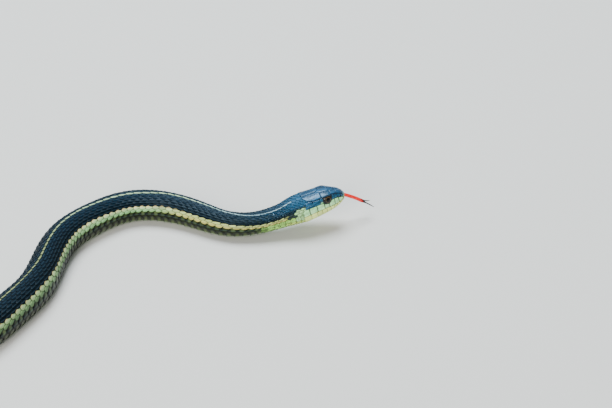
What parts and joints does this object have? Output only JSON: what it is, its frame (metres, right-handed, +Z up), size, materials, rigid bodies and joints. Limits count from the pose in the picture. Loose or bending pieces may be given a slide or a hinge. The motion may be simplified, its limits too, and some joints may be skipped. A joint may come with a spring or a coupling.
{
  "type": "garter snake",
  "caption": "a slender striped snake lying in loose bends on the floor, its head a little raised and its forked tongue out, made as a still life-size museum model",
  "frame": {"origin": "on the floor, at the middle of the snake's outline seen from above, level with the flats of its belly", "axes": "+X towards the end of the snake that its head is at, +Z up, and +Y to the snake's left when it looks along +X"},
  "size_m": [0.3593, 0.1252, 0.0162],
  "materials": {
    "crown_skin": "smooth blue-green head shields with a soft sheen",
    "jaw_skin": "smooth pale yellow-green lip and chin scales",
    "body_skin": "dark keeled scales with pale stripes and a soft sheen",
    "eye_surface": "dark, smooth and wet-looking",
    "tongue_flesh": "bright red and moist"
  },
  "bodies": {
    "root": {"head": "crown_skin", "lower_jaw": "jaw_skin", "eye_left": "eye_surface", "eye_right": "eye_surface", "tongue": "tongue_flesh", "neck": "body_skin", "forebody_1": "body_skin", "forebody_2": "body_skin", "forebody_3": "body_skin", "forebody_4": "body_skin", "midbody_1": "body_skin", "midbody_2": "body_skin", "midbody_3": "body_skin", "midbody_4": "body_skin", "midbody_5": "body_skin", "hindbody_1": "body_skin", "hindbody_2": "body_skin", "hindbody_3": "body_skin", "tail_1": "body_skin", "tail_2": "body_skin", "tail_3": "body_skin", "tail_4": "body_skin"}
  },
  "joints": []
}
